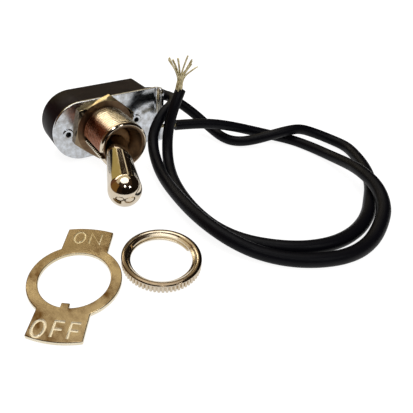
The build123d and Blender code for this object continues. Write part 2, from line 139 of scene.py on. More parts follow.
# one finish: its base values, its drift and, where given, its fade
def weathered(name, hexColour, values, fade=None, **drift):
    material, tree, shader = newMaterial(name, hexColour, values)
    tone = weather(tree, shader, **drift)
    if fade:
        fadeTone(tree, shader, tone, fade)
    return material


metal = {"Metallic": 1.0}

# bright nickel on turned brass: warm mirror with soft drifts from handling
nickelBright = weathered("nickel_plated_brass_bright", "#dccfbc", metal, tones=("#e2d8c8", "#d0bfa4"),
                         patch=3.0, rough=(0.06, 0.12), grain=0.35, depth=0.003)

# nickel over the rolled thread: the same plate, duller, with a copper-brown painted reflection of the brown
# room along its upper left flank
flankPaintedReflection = {"tone": "#a87257",
             "ranges": [("X", -2.4, -4.4, 1.0, "SMOOTHSTEP"), ("Z", -1.4, -0.8, 1.0, "LINEAR")]}
nickelThread = weathered("nickel_plated_brass_rolled_thread", "#d8c8ae", metal, flankPaintedReflection,
                         tones=("#fdf8ec", "#eee0c2"), patch=1.6, rough=(0.18, 0.32), grain=0.1, depth=0.006)

# nickel on the ring nut's rim and the hex nut's lower flats, darkened as painted shade: brownish and a little
# dull
nickelShadedFaces = weathered("nickel_plated_brass_painted_shade", "#84735d", metal, tones=("#9c8a70", "#6c5c4b"),
                          patch=2.5, rough=(0.1, 0.24), grain=0.2, depth=0.005)

# nickel in the ring nut's bore, left by the tap: greyer and satin
nickelTapped = weathered("nickel_plated_brass_tapped", "#b09c7c", metal, tones=("#ece0c8", "#c4b192"),
                         patch=1.5, rough=(0.12, 0.24), grain=0.15, depth=0.002)

# nickel on the hex nut's upper flats with a painted gold highlight, satin
nickelPaintedGleam = weathered("nickel_plated_brass_painted_gleam", "#dcc28a", metal, tones=("#f4e2b4", "#c9a96c"),
                         patch=1.5, rough=(0.26, 0.42), grain=0.15, depth=0.006)

# painted shade in the bore, the keyway and on the hex nut's face: nickel made brown and dull, so they read as
# deep
nickelRecessShade = weathered("nickel_plated_brass_painted_recess_shade", "#6c523f", metal, tones=("#8a7056", "#5f4c3c"),
                        patch=1.5, rough=(0.32, 0.46), grain=0.15, depth=0.006)

# zinc on pressed steel: cool grey-white, cloudy spangle
zincSteel = weathered("zinc_plated_pressed_steel", "#c9c8c6", metal, tones=("#e2e8f0", "#aaa8a6"), patch=1.6,
                      rough=(0.12, 0.23), grain=0.25, depth=0.006, spread=0.22)

# thin brassy nickel on stamped sheet: straw and brown streaks, with painted shade darkening it towards the ON
# end
sheetEndShade = {"tone": "#85714f", "ranges": [("Y", -33, -29, 0.85, "LINEAR")]}
nickelSheet = weathered("nickel_plated_stamped_sheet", "#c0ad86", metal, sheetEndShade,
                        tones=("#cdb994", "#664a26"), patch=3.0, rough=(0.16, 0.34), grain=0.16, depth=0.012,
                        stretch=(1, 0.6, 1), spread=0.14)

# the same sheet where the die struck or sheared it: a painted highlight in bright cream, and painted shade
# with the rest at the ON end
strokesEndShade = {"tone": "#dccba2", "ranges": [("Y", -33, -29, 1.0, "LINEAR")]}
nickelStruckHighlight = weathered("nickel_plated_sheet_painted_highlight", "#f4ecd8", {"Metallic": 0.6}, strokesEndShade,
                         tones=("#fbf3e0", "#efe2c2"), patch=1.0, rough=(0.25, 0.35), grain=0.1, depth=0.004)

# brown-black phenolic, moulded: deep colour under a soft moulded gloss
phenolic = weathered("phenolic_moulded_brown_black", "#1c1414", {"IOR": 1.55, "Specular IOR Level": 0.03},
                     tones=("#1a0f12", "#0d0709"), patch=4.0, rough=(0.3, 0.42), grain=0.25, depth=0.01)

# soft PVC over stranded wire, extruded: near black with a satin sheen along its length
leadVinyl = weathered("pvc_extruded_satin_black", "#101012", {"IOR": 1.53, "Specular IOR Level": 0.11},
                      tones=("#090910", "#05050b"), patch=5.0, rough=(0.36, 0.48), grain=0.4, depth=0.012)

# bare copper strands, thinly tinned: yellowish silver
strandCopper = weathered("tinned_copper_drawn_strand", "#ecdcb4", {"Metallic": 0.5},
                         tones=("#fff6d0", "#96824a"), patch=0.7, rough=(0.36, 0.5), grain=0.1, depth=0.004,
                         spread=0.18)

# blued spring steel, drawn
springSteel = weathered("spring_steel_drawn", "#7d7f86", metal, tones=("#8b8d93", "#6b6d75"), patch=1.0,
                        rough=(0.25, 0.4), grain=0.1, depth=0.004)

# brass strip, pressed and left plain
plainBrass = weathered("brass_pressed_plain", "#c9a75c", metal, tones=("#d2b26a", "#b08f49"), patch=1.5,
                       rough=(0.24, 0.4), grain=0.15, depth=0.006)

# fine silver contact, worn matt by the arc
silverContact = weathered("silver_contact_matt", "#d8d5cd", metal, tones=("#dedbd4", "#b3aea4"), patch=0.6,
                          rough=(0.3, 0.5), grain=0.08, depth=0.006)

# acetal plunger, moulded: milky white with a waxy gloss
acetal = weathered("acetal_moulded_white", "#e9e6dc", {"IOR": 1.48}, tones=("#eeebe2", "#ddd8cb"), patch=1.5,
                   rough=(0.32, 0.45), grain=0.2, depth=0.006)
print("materials made", len(bpy.data.materials))


def coat(data, *materials):
    data.materials.clear()
    for material in materials:
        data.materials.append(material)


def addObject(name, data, *materials):
    piece = bpy.data.objects.new(name, data)
    bpy.context.scene.collection.objects.link(piece)
    if materials:
        coat(data, *materials)
    return piece


def newMesh(name, work):
    mesh = bpy.data.meshes.new(name)
    work.to_mesh(mesh)
    work.free()
    return mesh


def smoothMesh(mesh, sharpAngle):
    mesh.shade_smooth()
    mesh.set_sharp_from_angle(angle=math.radians(sharpAngle))


# the mesh that an object's curves and modifiers come to
def finishedMesh(piece):
    bpy.context.view_layer.update()
    return bpy.data.meshes.new_from_object(piece.evaluated_get(bpy.context.evaluated_depsgraph_get()))


# freezes modifiers into a plain mesh
def plainMesh(piece, *materials, sharpAngle=40):
    mesh = finishedMesh(piece)
    piece.modifiers.clear()
    piece.data = mesh
    if materials:
        coat(mesh, *materials)
    smoothMesh(mesh, sharpAngle)


# flat sides stay flat in the shading, so that only rounds and edges bend the light
def squareFaces(mesh, largeArea=6.0):
    for side in mesh.polygons:
        if max(abs(c) for c in side.normal) > 0.9999 or side.area > largeArea * mm * mm:
            side.use_smooth = False


# copy of a CAD node's mesh with its seams welded, and with its flat sides made whole if an angle is given
def weldedCopy(node, flatAngle=None):
    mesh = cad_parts[node].data.copy()
    work = bmesh.new()
    work.from_mesh(mesh)
    bmesh.ops.remove_doubles(work, verts=work.verts, dist=weldGap)
    if flatAngle:
        bmesh.ops.dissolve_limit(
            work, angle_limit=math.radians(flatAngle), verts=work.verts, edges=work.edges)
    work.to_mesh(mesh)
    work.free()
    return mesh


# welded copy of a CAD node with broken edges
def softenedCopy(node, name, edge, material, flatAngle=0.5, edgeAngle=35):
    mesh = weldedCopy(node, flatAngle)
    mesh.polygons.foreach_set("use_smooth", [False] * len(mesh.polygons))
    piece = addObject(name, mesh, material)
    bevel = piece.modifiers.new("brokenEdge", "BEVEL")
    bevel.width = edge * mm
    bevel.segments = 3
    bevel.limit_method = "ANGLE"
    bevel.angle_limit = math.radians(edgeAngle)
    bevel.use_clamp_overlap = True
    plainMesh(piece, material)
    squareFaces(piece.data)
    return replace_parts(piece, node)


# skin over rings of points, each joined to the next, and the last to the first if closed
def stitch(work, rings, closed=True):
    pairs = list(zip(rings, rings[1:])) + ([(rings[-1], rings[0])] if closed else [])
    for lower, upper in pairs:
        for i in range(len(lower)):
            j = (i + 1) % len(lower)
            corners = list(dict.fromkeys([lower[i], lower[j], upper[j], upper[i]]))
            if len(corners) > 2:
                work.faces.new(corners)
    bmesh.ops.recalc_face_normals(work, faces=work.faces)


# profile of (radius, height) in mm turned about local Z, then set in place
def turned(name, profile, material, steps, place=Matrix.Identity(4), closed=True, sharpAngle=35):
    work = bmesh.new()
    rings = []
    for radius, height in profile:
        if radius < 1e-6:
            rings.append([work.verts.new((0, 0, height * mm))] * steps)
            continue
        turns = [2 * math.pi * i / steps for i in range(steps)]
        spots = [(radius * mm * math.cos(a), radius * mm * math.sin(a), height * mm) for a in turns]
        rings.append([work.verts.new(spot) for spot in spots])
    stitch(work, rings, closed)
    work.transform(place)
    mesh = newMesh(name, work)
    piece = addObject(name, mesh, material)
    smoothMesh(mesh, sharpAngle)
    return piece


# node group with its geometry, counts, lengths and material as inputs
def newTree(name, lengths, counts=()):
    tree = bpy.data.node_groups.new(name, "GeometryNodeTree")
    sockets = [("Geometry", "NodeSocketGeometry")] + [(count, "NodeSocketInt") for count in counts]
    sockets += [(length, "NodeSocketFloat") for length in lengths] + [("Material", "NodeSocketMaterial")]
    for socket, kind in sockets:
        tree.interface.new_socket(socket, in_out="INPUT", socket_type=kind)
    tree.interface.new_socket("Geometry", in_out="OUTPUT", socket_type="NodeSocketGeometry")
    return tree, addNode(tree, "NodeGroupInput").outputs


# last nodes of a group: one solid mesh in the given material
def closeTree(tree, source, geometry):
    solid = addNode(tree, "GeometryNodeRealizeInstances", {"Geometry": geometry})
    coated = addNode(tree, "GeometryNodeSetMaterial", {
        "Geometry": solid.outputs[0], "Material": source["Material"]})
    addNode(tree, "NodeGroupOutput", {"Geometry": coated.outputs[0]})
    return tree


# sets a modifier's inputs by their sockets' identifiers
def dress(piece, tree, values):
    modifier = piece.modifiers.new(tree.name, "NODES")
    modifier.node_group = tree
    for item in tree.interface.items_tree:
        if item.in_out == "INPUT" and item.name in values:
            modifier[item.identifier] = values[item.name]


# camera at the photograph's place: focal length and shift carry its framing
cameraSet = {"place": (-0.03594, -0.08641, 0.04541), "turn": (59.78, 0, -28.34), "lens": 35.94, "sensor": 36,
             "shift": (0.1534, -0.1145), "nearest": 0.001}
camera = addObject("camera", bpy.data.cameras.new("camera"))
camera.location = cameraSet["place"]
camera.rotation_euler = [math.radians(a) for a in cameraSet["turn"]]
camera.data.lens = cameraSet["lens"]
camera.data.sensor_width = cameraSet["sensor"]
camera.data.shift_x, camera.data.shift_y = cameraSet["shift"]
camera.data.clip_start = cameraSet["nearest"]
bpy.context.scene.camera = camera
bpy.context.scene.view_settings.view_transform = "Standard"

# leads: control points in mm, from the housing to the stripped end
leadSet = {
    "diameter": 2.7,
    "front": [
        (12.1, 4.9, 4.1), (17, 4.9, 4.1), (19.8, 3.4, 4.1), (20.2, 0.2, 4), (17.9, -2.2, 3.7),
        (14.9, -3.6, 3), (12.3, -4.8, 1.2), (10.2, -6.1, -1.2), (8.7, -8.8, -3.3), (7.6, -12, -4.6),
        (6.4, -16.1, -5.3), (5.2, -21.3, -5.4), (4.4, -27, -5.2), (4, -33, -5.1), (4.5, -38.7, -5.2),
        (6.3, -43.7, -5.9), (9.2, -47.6, -6.7), (13.2, -51.1, -7.07), (18, -53.8, -7.07),
        (23.5, -55.3, -7.07), (29.3, -54.9, -7), (34.7, -53, -6.2), (39.9, -50, -5.3),
        (43.2, -45.3, -3.9), (45.2, -39.9, -3.9), (47.4, -35.5, -5.1), (49.4, -28.6, -6.7),
        (49.3, -22.6, -7.07), (48, -17.4, -7.07), (44.9, -13.3, -6.8), (40.2, -10.3, -5.6),
        (34.5, -8.6, -3.7), (28.6, -7, -2.1), (22.9, -5.7, -1.3), (17.6, -4.7, -1)],
    "rear": [
        (12.1, 8.6, 4.1), (17, 8.6, 4.1), (21.5, 7, 2.8), (25.3, 4, 0.1), (28.6, 1.3, -2.9),
        (30.7, -2.5, -5.6), (31.7, -7.7, -6.9), (33.7, -11, -7), (37.2, -13.5, -6.2),
        (41.3, -15.9, -4.5), (45.7, -17, -3.8), (50.1, -17.3, -4.1), (54.1, -19.1, -5.6),
        (57, -22.2, -6.8), (57.9, -26.8, -7.07), (55.8, -31.3, -7.07), (53.3, -35.3, -7.07),
        (50.3, -39, -7.07), (46.7, -42.4, -7.07), (42.3, -45.4, -7.07), (36.8, -49, -7.07),
        (30.5, -51.3, -7.07), (24.2, -51.8, -7.07), (18.2, -50.3, -7.07), (13.2, -47.3, -7.07),
        (9, -43.2, -7.07), (6.7, -38.3, -7.07), (6.1, -32.7, -7.07), (6.5, -27, -7.07),
        (7.7, -21.4, -7.07), (9.3, -16.4, -6.9), (10.9, -12.4, -5.8), (12.3, -9.6, -3.5),
        (13.4, -8, -0.4), (14.5, -7.4, 3.1), (16.1, -6.7, 6.2), (18.2, -5.5, 8.8)],
    "length": {"front": 0.172, "rear": 0.177}}


# smooth spline drawn by its control points
def addSpline(curve, places):
    spline = curve.splines.new("NURBS")
    spline.points.add(len(places) - 1)
    for point, place in zip(spline.points, places):
        point.co = (*place, 1)
    spline.order_u = 3
    spline.use_endpoint_u = True
    return spline


def newCurve(name):
    curve = bpy.data.curves.new(name, "CURVE")
    curve.dimensions = "3D"
    return curve


def layLead(name, points):
    curve = newCurve(name)
    addSpline(curve, [(x * mm, y * mm, z * mm) for x, y, z in points]).use_smooth = True
    curve.resolution_u = 12
    curve.bevel_depth = leadSet["diameter"] / 2 * mm
    curve.bevel_resolution = 8
    curve.use_fill_caps = True
    return addObject(name, curve, leadVinyl)


leads = {}
for side in ("front", "rear"):
    leads[side] = layLead(side + "Lead", leadSet[side])
    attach(leads[side], "switch")
    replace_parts(leads[side], side + "_lead")
print("leads laid")

# stripped ends: each strand runs from inside the vinyl through the trunk to its own tip
strandSet = {
    "wire": 0.36, "pictureRight": (0.88, -0.475, 0), "goldenTurn": 2.4, "twist": 1.1,
    "stray": 0.2, "shorter": 0.8, "waistHold": 0.9, "bendAt": 0.45, "bendLift": 0.35, "bendHold": 0.7,
    "front": {"root": (19.6, -5.15, -1.07), "waist": (15.6, -4.1, -0.9), "tips": [(13.9, -3.4, -0.6)],
              "count": 14, "spread": 0.42, "seed": 3},
    "rear": {"root": (17.2, -6.1, 7.6), "waist": (18.3, -5.15, 12.0),
             "tips": [(14.9, -5.1, 17.5), (15.3, -5.1, 17.0), (15.9, -5.1, 16.5), (17.5, -5.1, 17.3),
                      (20.0, -5.1, 17.3), (20.5, -5.1, 14.8), (20.9, -5.1, 15.3), (21.3, -5.1, 15.8),
                      (21.6, -5.1, 15.6), (23.0, -5.1, 14.0)],
             "count": 21, "spread": 0.84, "seed": 7}}


def wireTree():
    tree, source = newTree("strandWire", ["Wire radius"])
    ring = addNode(tree, "GeometryNodeCurvePrimitiveCircle", {
        "Resolution": 6, "Radius": source["Wire radius"]})
    swept = addNode(tree, "GeometryNodeCurveToMesh", {
        "Curve": source["Geometry"], "Profile Curve": ring.outputs["Curve"], "Fill Caps": True})
    return closeTree(tree, source, swept.outputs["Mesh"])


# offsets of the strands at the root and, twisted on, at the waist, from the picture's left to its right
def layStrands(spec, along):
    across = along.orthogonal().normalized()
    other = along.cross(across)
    laid = []
    for n in range(spec["count"]):
        reach = spec["spread"] * math.sqrt((n + 0.5) / spec["count"])
        turns = (strandSet["goldenTurn"] * n, strandSet["goldenTurn"] * n + strandSet["twist"])
        laid.append([across * reach * math.cos(a) + other * reach * math.sin(a) for a in turns])
    return sorted(laid, key=lambda pair: pair[1].dot(Vector(strandSet["pictureRight"])))


strandTree = wireTree()
for side in ("front", "rear"):
    spec = strandSet[side]
    dice = random.Random(spec["seed"])
    curve = newCurve(side + "Strands")
    root, waist = Vector(spec["root"]), Vector(spec["waist"])
    along = (waist - root).normalized()
    stray, shorter = strandSet["stray"], strandSet["shorter"]
    for n, (offset, twisted) in enumerate(layStrands(spec, along)):
        drift = (dice.uniform(-stray, stray), dice.uniform(-stray, stray), dice.uniform(-shorter, stray))
        tip = Vector(spec["tips"][n * len(spec["tips"]) // spec["count"]]) + Vector(drift)
        narrow = waist + twisted * strandSet["waistHold"]
        lifted = waist.lerp(tip, strandSet["bendAt"]) + along * strandSet["bendLift"]
        bend = lifted + twisted * strandSet["bendHold"]
        stops = [root + offset, root.lerp(waist, 0.5) + offset, narrow, bend, tip]
        addSpline(curve, [stop * mm for stop in stops])
    strands = addObject(side + "Strands", curve)
    dress(strands, strandTree, {"Wire radius": strandSet["wire"] / 2 * mm, "Material": strandCopper})
    mesh = finishedMesh(strands)
    bpy.data.objects.remove(strands)
    piece = addObject(side + "Strands", mesh, strandCopper)
    mesh.shade_smooth()
    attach(piece, "switch")
    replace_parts(piece, side + "_conductor")
print("strands made")


# helical ridge with a flat crest, wound on a spiral and cut where the keyway runs
def threadTree():
    tree, source = newTree("threadRidge", [
        "Radius", "Ridge", "Root width", "Crest width", "Pitch", "Turns", "Start",
        "Keyway width", "Keyway reach"])
    height = addNode(tree, "ShaderNodeMath", {0: source["Pitch"], 1: source["Turns"]}, operation="MULTIPLY")
    spiral = addNode(tree, "GeometryNodeCurveSpiral", {
        "Resolution": 96, "Rotations": source["Turns"], "Start Radius": source["Radius"],
        "End Radius": source["Radius"], "Height": height.outputs[0], "Reverse": True})
    upright = addNode(tree, "GeometryNodeSetCurveNormal", {"Curve": spiral.outputs[0]}, mode="Z_UP")
    section = addNode(tree, "GeometryNodeCurvePrimitiveQuadrilateral", {
        "Height": source["Ridge"], "Bottom Width": source["Root width"], "Top Width": source["Crest width"],
        "Offset": 0.0}, mode="TRAPEZOID")
    outward = addNode(tree, "GeometryNodeTransform", {
        "Geometry": section.outputs["Curve"], "Rotation": (0, 0, -math.pi / 2)})
    ridge = addNode(tree, "GeometryNodeCurveToMesh", {
        "Curve": upright.outputs[0], "Profile Curve": outward.outputs[0], "Fill Caps": True})
    lift = addNode(tree, "ShaderNodeCombineXYZ", {"Z": source["Start"]})
    raised = addNode(tree, "GeometryNodeTransform", {
        "Geometry": ridge.outputs[0], "Translation": lift.outputs[0]})
    # the keyway's block stands past both ends of the thread
    span = addNode(tree, "ShaderNodeMath", {0: height.outputs[0], 1: 3.0}, operation="MULTIPLY")
    size = addNode(tree, "ShaderNodeCombineXYZ", {
        "X": source["Keyway reach"], "Y": source["Keyway width"], "Z": span.outputs[0]})
    block = addNode(tree, "GeometryNodeMeshCube", {"Size": size.outputs[0]})
    spot = addNode(tree, "ShaderNodeCombineXYZ", {"X": source["Radius"]})
    cutter = addNode(tree, "GeometryNodeTransform", {
        "Geometry": block.outputs[0], "Translation": spot.outputs[0]})
    cut = addNode(tree, "GeometryNodeMeshBoolean", {
        "Mesh 1": raised.outputs[0], "Mesh 2": cutter.outputs[0]}, operation="DIFFERENCE", solver="EXACT")
    return closeTree(tree, source, cut.outputs[0])


# one wound thread from its lengths in mm
def cutThread(name, lengths, turns, place, material):
    thread = addObject(name, bpy.data.meshes.new(name))
    values = {socket: length * mm for socket, length in lengths.items()}
    dress(thread, ridgeTree, {**values, "Turns": turns, "Material": material})
    plainMesh(thread, material, sharpAngle=30)
    thread.data.transform(place)
    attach(thread, "switch")
    return thread


ridgeTree = threadTree()

# bushing: local Z runs from the panel seat to the nose, local X to the keyway
bushingSet = {
    "length": 10.8, "crest": 5.95, "minor": 5.6, "noseRing": 1.15, "steps": 192, "keyTurn": 10,
    "keyway": {"depth": 0.9, "width": 1.8, "overrun": 4.0, "shift": 0.5, "floor": 4.9, "rim": 0.1,
               "slack": 0.01},
    "pinSlot": {"size": (1.64, 9.44, 10.0), "middle": 1.3},
    "bore": {"radius": 4.7, "foot": -2.9, "mouth": 5.3, "mouthDepth": 0.6},
    "thread": {"Ridge": 0.4, "Root width": 0.72, "Crest width": 0.44, "Pitch": 0.794, "Start": 0.05,
               "Keyway reach": 2}}
keyCos, keySin = math.cos(math.radians(bushingSet["keyTurn"])), math.sin(math.radians(bushingSet["keyTurn"]))
alongBushing = Matrix(((-keyCos, keySin, 0, 0), (0, 0, -1, 0), (-keySin, -keyCos, 0, 0), (0, 0, 0, 1)))
nose, crest, minor = bushingSet["length"], bushingSet["crest"], bushingSet["minor"]
threadEnd = nose - bushingSet["noseRing"]
barrel = turned("bushingBarrel", [
    (4.5, -3.0), (6.3, -3.0), (6.3, -2.3), (5.2, -2.3), (5.2, -1.5), (minor, -1.5), (minor, threadEnd),
    (5.88, nose - 0.95), (crest, nose - 0.7), (5.9, nose - 0.42), (5.7, nose - 0.2), (5.5, nose - 0.04),
    (5.35, nose), (5.1, nose), (4.9, nose - 0.05), (4.75, nose - 0.2), (4.66, nose - 0.5),
    (3.43, 6.94), (3.62, 6.2), (3.72, 5.5), (4.5, -1.5)],
    nickelThread, bushingSet["steps"])
keyway, pinSlot, bore = bushingSet["keyway"], bushingSet["pinSlot"], bushingSet["bore"]
keySize = (2 * keyway["depth"], keyway["width"], nose + keyway["overrun"])
cuts = [(keySize, (crest, 0, nose / 2 + keyway["shift"]), 0),
        (pinSlot["size"], (0, 0, pinSlot["middle"]), bushingSet["keyTurn"])]
work = bmesh.new()
for size, middle, turn in cuts:
    cube = bmesh.ops.create_cube(work, size=1)["verts"]
    place = Matrix.Translation(Vector(middle) * mm) @ Matrix.Diagonal([side * mm for side in size] + [1])
    bmesh.ops.transform(work, matrix=Matrix.Rotation(math.radians(-turn), 4, "Z") @ place, verts=cube)
keyBlock = addObject("keywayCutter", newMesh("keywayCutter", work))
slot = barrel.modifiers.new("keyway", "BOOLEAN")
slot.object = keyBlock
slot.solver = "EXACT"
plainMesh(barrel, nickelThread, nickelRecessShade, nickelBright, sharpAngle=30)
bpy.data.objects.remove(keyBlock)
# painted shade in the bore and the keyway, bright nickel on the nose ring
for side in barrel.data.polygons:
    spot = side.center / mm
    boreEdge = bore["mouth"] if spot.z > nose - bore["mouthDepth"] else bore["radius"]
    inBore = math.hypot(spot.x, spot.y) < boreEdge and spot.z > bore["foot"]
    inSlot = abs(spot.y) < keyway["width"] / 2 + keyway["slack"] and spot.z > 0
    inKeyway = inSlot and keyway["floor"] < spot.x < crest - keyway["rim"]
    side.material_index = 1 if inBore or inKeyway else 2 if spot.z > threadEnd else 0
barrel.data.transform(alongBushing)
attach(barrel, "switch")
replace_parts(barrel, "bushing")
threadSizes = {**bushingSet["thread"], "Radius": crest - bushingSet["thread"]["Ridge"] / 2,
               "Keyway width": keyway["width"]}
threadTurns = threadEnd / bushingSet["thread"]["Pitch"]
thread = cutThread("bushingThread", threadSizes, threadTurns, alongBushing, nickelThread)
print("bushing threaded", len(thread.data.polygons), "faces")

# pressed and moulded pieces with their edges broken
softSet = {"housing": (0.3, phenolic), "mounting_plate": (0.14, zincSteel), "eyelets": (0.1, zincSteel)}
for node, (edge, material) in softSet.items():
    piece = softenedCopy(node, node + "Soft", edge, material)
    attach(piece, "switch")
print("pressed pieces softened")

# hex nut: six flats with rounded corners, its front chamfered on a cone, so the flats end in curves
hexSet = {"acrossFlats": 14.938, "bore": 5.62, "thickness": 1.5, "turn": 17.5, "cornerRound": 0.22,
          "cornerSweep": 54, "chamferAt": 7.42, "chamferTurn": 22, "edge": 0.07, "stepsPerFlat": 36,
          "flatShare": 0.7, "sharpAngle": 22, "frontFacing": 0.99, "upFacing": 0.3}
cornerRound, flatShare = hexSet["cornerRound"], hexSet["flatShare"]
inner = hexSet["acrossFlats"] / 2 - cornerRound
cornerAt = inner * math.tan(math.radians(30))
outline = []
for side in range(6):
    turn = math.radians(hexSet["turn"] + 30 + 60 * side)
    for step in range(hexSet["stepsPerFlat"]):
        share = step / (hexSet["stepsPerFlat"] - 1)
        if share < flatShare:
            x, y = inner + cornerRound, cornerAt * (2 * share / flatShare - 1)
        else:
            a = math.radians(hexSet["cornerSweep"] * (share - flatShare) / (1 - flatShare))
            x, y = inner + cornerRound * math.cos(a), cornerAt + cornerRound * math.sin(a)
        outline.append((x * math.cos(turn) - y * math.sin(turn), x * math.sin(turn) + y * math.cos(turn)))
work = bmesh.new()
slope = math.tan(math.radians(hexSet["chamferTurn"]))
edge, thickness = hexSet["edge"], hexSet["thickness"]
rings = [[] for _ in range(7)]
for x, z in outline:
    rim = math.hypot(x, z)
    front = thickness - max(0, rim - hexSet["chamferAt"]) * slope
    section = ((hexSet["bore"], 0), (rim - edge, 0), (rim, edge), (rim, front - edge / 2),
               (rim - edge, front + edge * slope), (hexSet["chamferAt"], thickness),
               (hexSet["bore"], thickness))
    for ring, (radius, depth) in zip(rings, section):
        ring.append(work.verts.new((x / rim * radius * mm, (thickness - depth) * mm, z / rim * radius * mm)))
stitch(work, rings)
nutMesh = newMesh("hexNut", work)
hexNut = addObject("hexNut", nutMesh, nickelPaintedGleam, nickelRecessShade, nickelShadedFaces)
# painted shade on the face and the lower flats, a painted gold highlight on the upper flats
for side in nutMesh.polygons:
    onFace, onTop = side.normal.y < -hexSet["frontFacing"], side.normal.z > hexSet["upFacing"]
    side.material_index = 1 if onFace else 0 if onTop else 2
smoothMesh(nutMesh, hexSet["sharpAngle"])
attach(hexNut, "switch")
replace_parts(hexNut, "hex_nut")
print("hex nut cut", len(nutMesh.polygons), "faces")

# lever: ball, slim taper and domed tip, turned about its own axis
leverSet = {"tilt": 20, "pivot": (0, -5.5, 0), "ball": 3.6, "neck": 2.3, "fillet": [(0.03, 0.08), (0, 0.3)],
            "tip": 3.4, "tipAt": 22.2, "tail": 1.6, "tailLength": 7.6, "bore": 1.0, "boreEnd": 2.4,
            "ballSteps": 40, "tipSteps": 32, "steps": 128}
tilt = math.radians(leverSet["tilt"])
neckAt = math.sqrt(leverSet["ball"] ** 2 - leverSet["neck"] ** 2)
tailAt = math.sqrt(leverSet["ball"] ** 2 - leverSet["tail"] ** 2)
tailAngle, neckAngle = -math.atan2(tailAt, leverSet["tail"]), math.atan2(neckAt, leverSet["neck"])
taper = math.atan2(leverSet["tip"] - leverSet["neck"], leverSet["tipAt"] - neckAt)
profile = [(leverSet["bore"], -leverSet["boreEnd"]), (leverSet["bore"], -leverSet["tailLength"]),
           (leverSet["tail"], -leverSet["tailLength"]), (leverSet["tail"], -tailAt)]
for i in range(1, leverSet["ballSteps"]):
    a = tailAngle + i * (neckAngle - tailAngle) / leverSet["ballSteps"]
    profile.append((leverSet["ball"] * math.cos(a), leverSet["ball"] * math.sin(a)))
profile += [(leverSet["neck"] + out, neckAt + up) for out, up in leverSet["fillet"]]
for i in range(leverSet["tipSteps"]):
    a = -taper + i * (math.pi / 2 + taper) / leverSet["tipSteps"]
    profile.append((leverSet["tip"] * math.cos(a), leverSet["tipAt"] + leverSet["tip"] * math.sin(a)))
profile += [(0, leverSet["tipAt"] + leverSet["tip"]), (0, -leverSet["boreEnd"])]
leverTurn = Vector((-math.sin(tilt), -math.cos(tilt), 0)).to_track_quat("Z", "Y").to_matrix().to_4x4()
leverPlace = Matrix.Translation(Vector(leverSet["pivot"]) * mm) @ leverTurn
lever = turned("leverTurned", profile, nickelBright, leverSet["steps"], leverPlace, closed=False)
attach(lever, "lever")
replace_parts(lever, "lever")
print("lever turned")

# ring nut: plain band with a crowned rim, a knurl tooth repeated round it and a short inside thread
ringSet = {"centre": (-6.8152, -39.3001), "steps": 192, "teeth": 64, "toothRadius": 0.25, "toothAt": 7.0,
           "toothHeight": 1.25, "toothMiddle": 0.73, "rimInner": 6.45, "rimFoot": 1.5, "upFacing": 0.5,
           "threadTurns": 1.35, "thread": {
               "Radius": 5.8, "Ridge": 0.4, "Root width": 0.26, "Crest width": 0.72, "Pitch": 0.794,
               "Start": 0.38, "Keyway width": 0.0001, "Keyway reach": 0.0001}}


def knurlTree():
    tree, source = newTree("knurl", ["Radius", "Tooth radius", "Height", "Start"], ["Teeth"])
    ring = addNode(tree, "GeometryNodeMeshCircle", {"Vertices": source["Teeth"], "Radius": source["Radius"]})
    tooth = addNode(tree, "GeometryNodeMeshCylinder", {
        "Vertices": 10, "Radius": source["Tooth radius"], "Depth": source["Height"]})
    lift = addNode(tree, "ShaderNodeCombineXYZ", {"Z": source["Start"]})
    raised = addNode(tree, "GeometryNodeTransform", {
        "Geometry": tooth.outputs[0], "Translation": lift.outputs[0]})
    teethRow = addNode(tree, "GeometryNodeInstanceOnPoints", {
        "Points": ring.outputs[0], "Instance": raised.outputs[0]})
    both = addNode(tree, "GeometryNodeJoinGeometry", {0: teethRow.outputs[0]})
    tree.links.new(source["Geometry"], both.inputs[0])
    return closeTree(tree, source, both.outputs[0])


ringPlace = Matrix.Translation((ringSet["centre"][0] * mm, ringSet["centre"][1] * mm, floorZ))
ring = turned("ringNutKnurled", [
    (5.95, 0.35), (6.2, 0.06), (6.3, 0), (6.8, 0), (6.8, 0.08), (6.86, 0.2), (6.86, 1.32), (7.18, 1.36),
    (7.25, 1.42), (7.25, 1.54), (7.2, 1.62), (7.05, 1.7), (6.85, 1.77), (6.68, 1.8), (6.55, 1.78),
    (6.35, 1.68), (6.15, 1.52), (5.95, 1.34)],
    nickelBright, ringSet["steps"])
dress(ring, knurlTree(), {
    "Teeth": ringSet["teeth"], "Radius": ringSet["toothAt"] * mm, "Tooth radius": ringSet["toothRadius"] * mm,
    "Height": ringSet["toothHeight"] * mm, "Start": ringSet["toothMiddle"] * mm, "Material": nickelBright})
plainMesh(ring, nickelBright, nickelTapped, nickelShadedFaces, sharpAngle=35)
# painted shade on the rim's upper faces, tapped satin nickel in the bore
for side in ring.data.polygons:
    inside = math.hypot(side.center.x, side.center.y) < ringSet["rimInner"] * mm
    onRim = side.normal.z > ringSet["upFacing"] and side.center.z > ringSet["rimFoot"] * mm
    side.material_index = 1 if inside else 2 if onRim else 0
ring.data.transform(ringPlace)
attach(ring, "switch")
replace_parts(ring, "ring_nut")
cutThread("ringNutThread", ringSet["thread"], ringSet["threadTurns"], ringPlace, nickelTapped)
print("ring nut knurled", len(ring.data.polygons), "faces")

